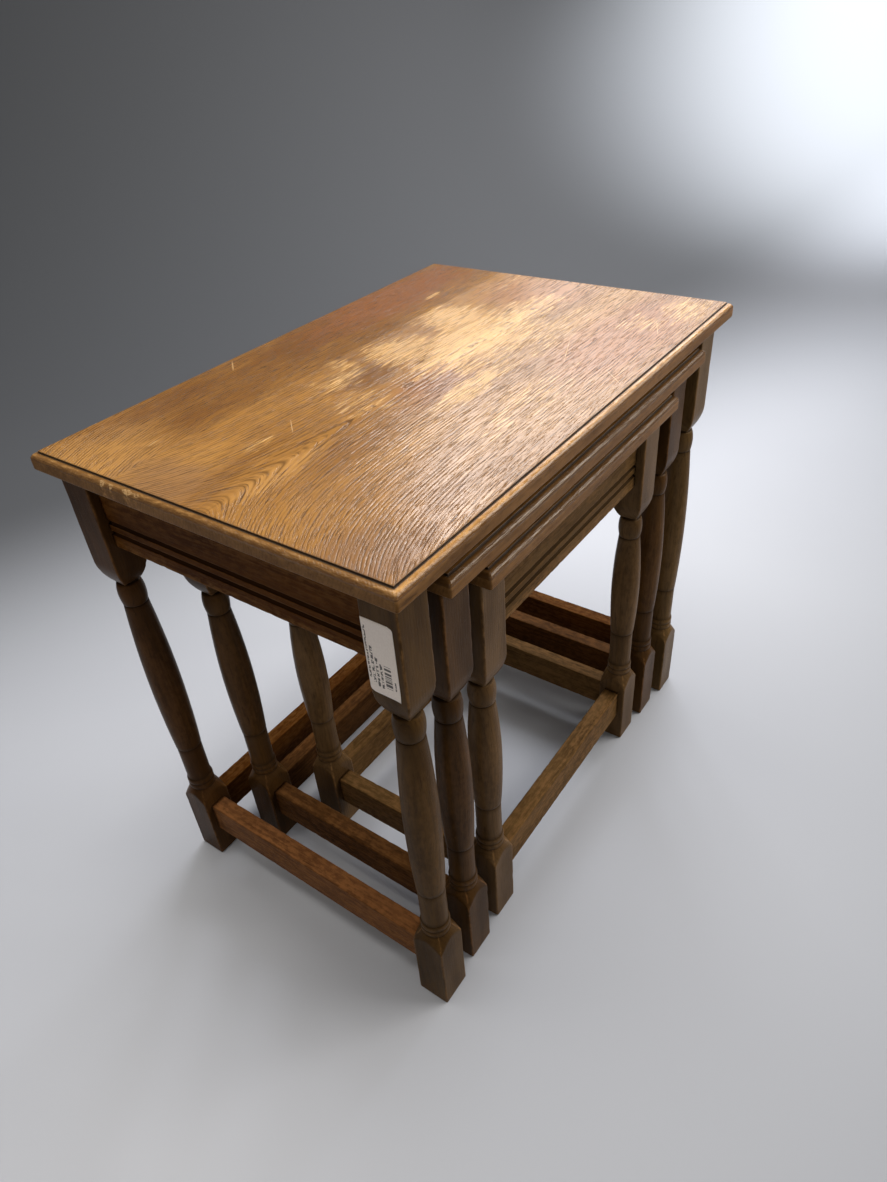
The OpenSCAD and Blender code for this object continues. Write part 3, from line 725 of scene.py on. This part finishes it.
# ---------------------------------------------------------------- aprons and stretchers
def arc_points(cx, cz, radius, start, end, count):
    """Points on an arc in a section: angles are in degrees."""
    turns = np.radians(np.linspace(start, end, count))
    return np.stack([cx + radius * np.cos(turns), cz + radius * np.sin(turns)], -1)


def rail_outline(thick, low, high, grooves):
    """Section of a rail: depth from the outer face and z, with wear, and dirt with painted shade in the
    grooves, per point.
    """
    soft = RAIL_SOFT
    parts = [(arc_points(thick - soft, low + soft, soft, 0, -90, 5), 0.6, 0),
             (arc_points(soft, low + soft, soft, -90, -180, 5), 0.9, 0)]
    for z in grooves:
        lip = 0.35 * MM
        cove = arc_points(0.0, z, GROOVE_R, -90, 90, 11)
        parts.append((np.array([[0, z - GROOVE_R - 3 * lip]]), 0.15, 0))
        parts.append((np.array([[0.05 * MM, z - GROOVE_R - lip]]), 0.7, 0))
        parts.append((cove + (0.25 * MM, 0), 0.0, 0.90))
        parts.append((np.array([[0.05 * MM, z + GROOVE_R + lip]]), 0.7, 0))
        parts.append((np.array([[0, z + GROOVE_R + 3 * lip]]), 0.15, 0))
    parts.append((arc_points(soft, high - soft, soft, 180, 90, 5), 0.9, 0))
    parts.append((arc_points(thick - soft, high - soft, soft, 90, 0, 5), 0.6, 0))
    points = np.concatenate([p for p, _, _ in parts])
    wear = np.concatenate([np.full(len(p), w) for p, w, _ in parts])
    grime_and_shade = np.concatenate([np.full(len(p), float(g)) for p, _, g in parts])
    return points, wear, grime_and_shade


def build_rail(table, kind, side, material, seed, wear_gain=1.0):
    """An apron or a stretcher between two legs, skinned along its length."""
    node = f"{table}_{kind}_{side}"
    low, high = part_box(node)
    sideways = side in ("left", "right")
    start, end = (low.y, high.y) if sideways else (low.x, high.x)
    start, end = start + TENON_LEN - 0.5 * MM, end - TENON_LEN + 0.5 * MM
    thick = (high.x - low.x) if sideways else (high.y - low.y)
    grooves = (low.z + BAND_H, low.z + BAND_H + GROOVE_PITCH) if kind == "apron" else ()
    outline, wear, grime_and_shade = rail_outline(thick, low.z, high.z, grooves)
    steps = np.linspace(start, end, int((end - start) / (4 * MM)) + 2)
    to_middle = outline.mean(0) - outline
    inward = to_middle / np.linalg.norm(to_middle, axis=1)[:, None]
    rings = []
    for run in steps:
        spread = np.full(len(outline), run)
        drift = wobble(spread + 0.3 * outline[:, 1], seed, (0.013, 0.037, 0.09))
        knock = np.clip(wobble(spread + outline[:, 0], seed + 3, (0.0083, 0.019)) - 0.5, 0, 1)
        push = 0.05 * MM * (1 + drift) + 0.9 * MM * knock * (wear > 0.5)
        flat = outline + inward * push[:, None]
        depth, z = flat.T
        if side == "left":
            ring = np.stack([low.x + depth, spread, z], -1)
        elif side == "right":
            ring = np.stack([high.x - depth, spread, z], -1)
        elif side == "front":
            ring = np.stack([spread, low.y + depth, z], -1)
        else:
            ring = np.stack([spread, high.y - depth, z], -1)
        rings.append(ring)
    verts, faces = loft(np.array(rings))
    tile = len(steps)
    order = [1, 2, 0] if sideways else [0, 2, 1]
    fields = {"grain": verts[:, order] + np.array([0.43, 0.17, 0.09]) * seed,
              "wear": np.tile(wear * wear_gain, tile), "grime_and_shade": np.tile(grime_and_shade, tile)}
    return add_piece("oak_" + node, verts, faces, fields, material, table + "_table", node)


# ---------------------------------------------------------------- label
def build_label(material):
    """The paper sticker, lifting slightly at its lower front corner."""
    low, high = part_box("price_label")
    wide, tall = high.y - low.y, high.z - low.z
    rows, columns = 50, 22
    rings = []
    for up in np.linspace(0, tall, rows):
        lead = max(LABEL_R - up, 0)
        back_in = LABEL_R - math.sqrt(max(LABEL_R ** 2 - lead ** 2, 0))
        lead = max(up - (tall - LABEL_R), 0)
        front_in = LABEL_R - math.sqrt(max(LABEL_R ** 2 - lead ** 2, 0))
        y = np.linspace(high.y - back_in, low.y + front_in, columns)
        near = np.hypot((y - low.y) / (8 * MM), up / (9 * MM))
        lift = 0.5 * MM * np.clip(1 - near, 0, 1) ** 2
        ripple = 0.03 * MM * (1 + wobble(y + 0.5 * up, 3, (0.009, 0.021)))
        x = high.x - 0.08 * MM - lift - ripple
        front = np.stack([x, y, np.full(columns, low.z + up)], -1)
        back = front[::-1].copy()
        back[:, 0] += PAPER_T
        rings.append(np.concatenate([front, back]))
    verts, faces = loft(np.array(rings))
    zero = np.zeros(len(verts))
    return add_piece("paper_price_label", verts, faces, {"wear": zero}, material, "large_table",
                     "price_label")


# ---------------------------------------------------------------- the three tables
OAK = {
    "large_top": top_oak("oak_large_top", True, (0.37, 0.190, 0.050), (0.215, 0.098, 0.023),
                         (0.050, 0.020, 0.006)),
    "medium_top": top_oak("oak_medium_top", False, (0.255, 0.126, 0.037), (0.150, 0.070, 0.020),
                          (0.04, 0.018, 0.006)),
    "small_top": top_oak("oak_small_top", False, (0.265, 0.132, 0.039), (0.155, 0.073, 0.021),
                         (0.04, 0.018, 0.006)),
    "large": frame_oak("oak_large_leg", (0.090, 0.049, 0.0155), (0.052, 0.027, 0.008),
                       (0.23, 0.120, 0.044), 0.05),
    # A darker copy of the leg oak for the large table's back legs: painted shade.
    "large_back_shaded": frame_oak("oak_large_back_leg_shaded", (0.074, 0.033, 0.010), (0.042, 0.018, 0.005),
                            (0.20, 0.095, 0.032), 0.05),
    # A lighter copy of the leg oak for its front right leg: painted light from the front right.
    "large_right_lit": frame_oak("oak_large_right_leg_lit", (0.132, 0.078, 0.030), (0.080, 0.046, 0.016),
                             (0.28, 0.160, 0.066), 0.06),
    "medium": frame_oak("oak_medium_leg", (0.082, 0.040, 0.012), (0.044, 0.021, 0.006),
                        (0.22, 0.104, 0.036), 0.06),
    # The small table's leg oak is a lighter copy of the others: painted light on its front-lit faces.
    "small": frame_oak("oak_small_leg_lit", (0.130, 0.076, 0.033), (0.078, 0.043, 0.016),
                       (0.28, 0.154, 0.062), 0.06),
    "large_rail": frame_oak("oak_large_rail", (0.086, 0.030, 0.0050), (0.050, 0.016, 0.0030),
                            (0.21, 0.100, 0.030)),
    "medium_rail": frame_oak("oak_medium_rail", (0.080, 0.036, 0.012), (0.047, 0.020, 0.0065),
                             (0.20, 0.090, 0.030)),
    # A lighter copy of the rail oak: painted light on the small table's front-lit rails.
    "small_rail": frame_oak("oak_small_rail_lit", (0.109, 0.062, 0.023), (0.066, 0.036, 0.012),
                            (0.26, 0.138, 0.054)),
    "edge": frame_oak("oak_top_edge", (0.190, 0.096, 0.031), (0.122, 0.058, 0.018),
                      (0.40, 0.215, 0.078), 0.05),
    # A lighter, warmer copy of the rail oak for the large table's left stretcher: painted sheen on its
    # top.
    "warm": frame_oak("oak_rail_painted_sheen", (0.140, 0.061, 0.024), (0.100, 0.043, 0.017),
                      (0.30, 0.130, 0.044)),
}
SIDES = {"large": ("left", "right", "back"), "medium": ("left", "right", "back"),
         "small": ("left", "right", "back", "front")}
LEG_NAMES = ("front_left", "front_right", "back_left", "back_right")
# Painted light and shade: the front right leg takes the lighter copy of the oak and the back legs the
# darker one.
LARGE_LEG_OAK = {"front_right": "large_right_lit", "back_left": "large_back_shaded", "back_right": "large_back_shaded"}
TOP_SEED, LEG_SEED, APRON_SEED, STRETCHER_SEED = 3, 11, 41, 71  # of each piece's own unevenness
LEG_SEEDS, RAIL_SEEDS = 7, 9  # how far the seeds of two tables are apart
STRETCHER_WEAR = 0.7  # stretchers are rubbed less than aprons


def build_table(table, number):
    """The top, legs, aprons and stretchers of one table."""
    large = table == "large"
    build_top(table, OAK[table + "_top"], OAK["edge"], TOP_SEED + number,
              1.2 * MM if large else 3 * MM, DENTS if large else ())
    for index, name in enumerate(LEG_NAMES):
        oak = LARGE_LEG_OAK.get(name, table) if large else table
        build_leg(table, name, OAK[oak], LEG_SEED + LEG_SEEDS * number + index)
    for index, side in enumerate(SIDES[table]):
        step = RAIL_SEEDS * number + index
        rail_oak = OAK[table + "_rail"]
        build_rail(table, "apron", side, rail_oak, APRON_SEED + step)
        # The large table's left stretcher takes the copy with the painted sheen.
        if large and side == "left":
            rail_oak = OAK["warm"]
        build_rail(table, "stretcher", side, rail_oak, STRETCHER_SEED + step,
                   STRETCHER_WEAR)


for number, table in enumerate(SIDES):
    build_table(table, number)
bare_oak = plain_oak("oak_glue_blocks")
steel = screw_steel("steel_screws")
build_label(label_paper("paper_label", *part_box("price_label")))
for name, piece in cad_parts.items():
    if name.endswith("glue_blocks") or name.endswith("top_screws"):
        piece.data.materials.clear()
        piece.data.materials.append(bare_oak if name.endswith("glue_blocks") else steel)


# ---------------------------------------------------------------- floor, light and camera
BACK_WAY = Vector((0.788, 0.616, 0))  # from the tables towards the backdrop
FLAT_TO, SWEEP_R, WALL_TOP = 1.1, 1.2, 2.6  # end of the level floor, its sweep up, and the wall
NEAR_END, HALF_WIDTH = -6.0, 6.0
# The last grey is painted shade: the backdrop darkens to it up the wall, and the floor towards the near
# edge.
FLOOR_GREY, FLOOR_PALE, PAINTED_SHADE_GREY = (0.462, 0.510, 0.612), (0.494, 0.547, 0.650), (0.073, 0.083, 0.101)
CENTRE = Vector((0, 0, 0.45))  # what the lights face
WINDOW, LAMP = (1.0, 0.96, 0.93), (1.0, 0.90, 0.77)
# Area lights: name, azimuth, elevation and distance, width, height, power, colour
LIGHTS = [("window_high", (11.6, 34.5, 2.1), 1.78, 0.70, 28, WINDOW),
          ("window_side", (36.5, 37, 2.1), 0.28, 0.26, 2.2, (1.0, 0.97, 0.95)),
          ("window_low", (7.5, 19.5, 2.1), 1.54, 0.48, 6, WINDOW),
          ("overhead", (100, 80, 2.2), 1.6, 1.6, 44, LAMP),
          ("front_fill", (-54, 32, 2.4), 1.4, 1.7, 38, LAMP),
          ("left_fill", (200, 35, 2.4), 1.6, 1.2, 8, (1.0, 0.85, 0.66)),
          ("right_fill", (-38, 20, 1.3), 0.6, 0.6, 3.8, (1.0, 0.93, 0.84))]
# The glow on the backdrop: place, target, angle of the cone in degrees, power, colour
WALL_GLOW = ((1.85, -0.42, 1.35), (2.44, 0.22, 0.52), 77, 540, (1.0, 0.97, 0.92))
ROOM_LIGHT, ROOM_STRENGTH = (1.0, 0.94, 0.86, 1), 0.155
CAMERA_PLACE = (-0.5326, -0.4202, 0.7557)
CAMERA_ANGLES = (-52.0, 36.97, -4.88)  # azimuth, elevation and roll in degrees
CAMERA_LENS = 25.09  # on a 36 mm sensor


def floor_paint():
    """Matt paint, pale where the tables stand, darkened by painted shade up the wall and towards the
    near edge.
    """
    s = Shader("pale_floor")
    coords = s.node("ShaderNodeTexCoord").outputs["Object"]
    x, y, height = s.split(coords)
    mottle = s.noise(coords, detail=3.0, scale=2.5)
    floor_colour = s.mix(mottle, FLOOR_GREY, FLOOR_PALE)
    # Painted shade darkens the paint away from the tables and up the backdrop.
    away = s.math("ADD", s.math("MULTIPLY", x, 0.45), s.math("MULTIPLY", y, 1.05))
    shade = s.math("MAXIMUM", s.step(away, 0.30, 1.15), s.step(height, 0.0, 0.45))
    colour = s.mix(shade, floor_colour, PAINTED_SHADE_GREY)
    # Painted shade darkens the floor towards the near edge.
    near = s.math("ADD", s.math("MULTIPLY", x, 0.2), s.math("MULTIPLY", y, -1.0))
    colour = s.mix(s.math("MULTIPLY", s.step(near, -0.1, 0.9), 0.70), colour, PAINTED_SHADE_GREY)
    return s.finish(colour, 0.75)


def build_floor():
    """A plain floor that curves up into a wall behind the tables."""
    profile = [(NEAR_END, 0.0), (-2.0, 0.0), (FLAT_TO - 0.5, 0.0)]
    for k in range(25):
        turn = math.radians(90 * k / 24)
        profile.append((FLAT_TO + SWEEP_R * math.sin(turn), SWEEP_R * (1 - math.cos(turn))))
    profile.append((FLAT_TO + SWEEP_R, WALL_TOP))
    side = Vector((-BACK_WAY.y, BACK_WAY.x, 0))
    verts = []
    for away, height in profile:
        for reach in (-HALF_WIDTH, HALF_WIDTH):
            verts.append(BACK_WAY * away + side * reach + Vector((0, 0, height)))
    faces = [(2 * k, 2 * k + 1, 2 * k + 3, 2 * k + 2) for k in range(len(profile) - 1)]
    mesh = bpy.data.meshes.new("floor")
    mesh.from_pydata(verts, [], faces)
    mesh.shade_smooth()
    mesh.materials.append(floor_paint())
    floor = bpy.data.objects.new("floor", mesh)
    bpy.context.scene.collection.objects.link(floor)


def place_light(data, place, target, power, colour):
    """Puts a light at a place, facing a target."""
    data.energy = power
    data.color = colour
    light = bpy.data.objects.new(data.name, data)
    light.location = place
    light.rotation_euler = (Vector(place) - Vector(target)).to_track_quat("Z", "Y").to_euler()
    bpy.context.scene.collection.objects.link(light)


def add_light(name, place, wide, tall, power, colour):
    """A soft rectangular light that faces the middle of the tables."""
    data = bpy.data.lights.new(name, "AREA")
    data.shape = "RECTANGLE"
    data.size, data.size_y = wide, tall
    place_light(data, place, CENTRE, power, colour)


def add_spot(name, place, target, angle, power, colour):
    """A round soft-edged light on the backdrop."""
    data = bpy.data.lights.new(name, "SPOT")
    data.spot_size, data.spot_blend = math.radians(angle), 1.0
    data.shadow_soft_size = 0.1
    place_light(data, place, target, power, colour)


def add_world():
    """Dim warm light from all round, and plain display of colours."""
    world = bpy.data.worlds.new("soft_room")
    world.use_nodes = True
    background = world.node_tree.nodes["Background"]
    background.inputs[0].default_value = ROOM_LIGHT
    background.inputs[1].default_value = ROOM_STRENGTH
    bpy.context.scene.world = world
    bpy.context.scene.view_settings.view_transform = "Standard"


def around(azimuth, elevation, distance):
    """A place at a direction in degrees and a distance from the middle of the tables."""
    a, e = math.radians(azimuth), math.radians(elevation)
    way = Vector((math.cos(a) * math.cos(e), math.sin(a) * math.cos(e), math.sin(e)))
    return CENTRE + distance * way


def add_camera():
    """The camera stands over the near left corner and is rolled a little."""
    azimuth, elevation, roll = (math.radians(a) for a in CAMERA_ANGLES)
    flat = math.cos(elevation)
    ahead = Vector((-math.sin(azimuth) * flat, math.cos(azimuth) * flat, -math.sin(elevation)))
    right = Vector((math.cos(azimuth), math.sin(azimuth), 0))
    up = right.cross(ahead)
    right_r = math.cos(roll) * right + math.sin(roll) * up
    up_r = -math.sin(roll) * right + math.cos(roll) * up
    data = bpy.data.cameras.new("camera")
    data.sensor_width = 36
    data.lens = CAMERA_LENS
    camera = bpy.data.objects.new("camera", data)
    turn = Matrix((right_r, up_r, -ahead)).transposed()
    camera.matrix_world = Matrix.Translation(CAMERA_PLACE) @ turn.to_4x4()
    bpy.context.scene.collection.objects.link(camera)
    bpy.context.scene.camera = camera


build_floor()
for name, place, wide, tall, power, colour in LIGHTS:
    add_light(name, around(*place), wide, tall, power, colour)
add_spot("wall_glow", *WALL_GLOW)
add_world()
add_camera()
